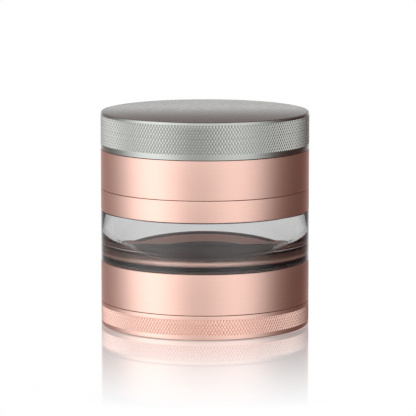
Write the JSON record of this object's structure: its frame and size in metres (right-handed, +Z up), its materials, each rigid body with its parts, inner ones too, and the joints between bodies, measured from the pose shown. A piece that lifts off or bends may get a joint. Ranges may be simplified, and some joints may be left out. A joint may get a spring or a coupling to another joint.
{
  "type": "herb grinder",
  "caption": "Hand-held herb grinder: knurled lid and toothed chamber over a clear window, sieve and catch cup.",
  "frame": {"origin": "centre of the catch cup's base, on the surface the grinder stands on", "axes": "+Z up along the common axis, from the catch cup to the lid"},
  "size_m": [0.063, 0.063, 0.0648],
  "materials": {
    "rose_anodised": "satin rose anodised, turned and knurled",
    "silver_anodised": "satin silver-grey anodised, turned and knurled",
    "clear_window": "polished clear acrylic or glass",
    "black_rubber": "matt black seal",
    "stainless": "fine satin stainless steel",
    "steel_mesh": "fine woven stainless mesh",
    "magnet_nickel": "nickel-plated disc magnet",
    "white_ptfe": "white low-friction plastic"
  },
  "bodies": {
    "catch_cup": {"catch_cup": "rose_anodised"},
    "cup_seal": {"cup_seal_ring": "black_rubber"},
    "window_section": {"sieve_body": "rose_anodised", "sieve_gasket": "black_rubber", "sieve_frame": "stainless", "sieve_mesh": "steel_mesh", "sieve_clamp_ring": "black_rubber", "window_lower_seal": "black_rubber", "window_glass": "clear_window", "window_upper_seal": "black_rubber", "window_top_ring": "rose_anodised"},
    "chamber_seal": {"chamber_seal_ring": "black_rubber"},
    "chamber": {"grinding_chamber": "rose_anodised", "chamber_magnet": "magnet_nickel", "chamber_magnet_cap": "stainless"},
    "glide_ring": {"lid_glide_ring": "white_ptfe"},
    "lid": {"lid_shell": "silver_anodised", "lid_magnet": "magnet_nickel", "lid_magnet_cap": "stainless"}
  },
  "joints": [
    {"name": "cup_unscrew", "type": "hinge", "parent": "catch_cup", "child": "cup_seal", "pos_m": [0, 0, 0.0085], "axis": [0, 0, 1], "range_deg": [0, 1080]},
    {"name": "cup_travel", "type": "slide", "parent": "cup_seal", "child": "window_section", "axis": [0, 0, 1], "range_m": [0, 0.0045]},
    {"name": "chamber_unscrew", "type": "hinge", "parent": "window_section", "child": "chamber_seal", "pos_m": [0, 0, 0.0405], "axis": [0, 0, 1], "range_deg": [0, 1080]},
    {"name": "chamber_travel", "type": "slide", "parent": "chamber_seal", "child": "chamber", "axis": [0, 0, 1], "range_m": [0, 0.0045]},
    {"name": "lid_lift", "type": "slide", "parent": "chamber", "child": "glide_ring", "axis": [0, 0, 1], "range_m": [0, 0.03]},
    {"name": "lid_turn", "type": "hinge", "parent": "glide_ring", "child": "lid", "pos_m": [0, 0, 0.0585], "axis": [0, 0, 1], "continuous": true}
  ],
  "couplings": [
    {"joint": "cup_travel", "follows": "cup_unscrew", "m_per_rad": 0.00023873},
    {"joint": "chamber_travel", "follows": "chamber_unscrew", "m_per_rad": 0.00023873}
  ]
}
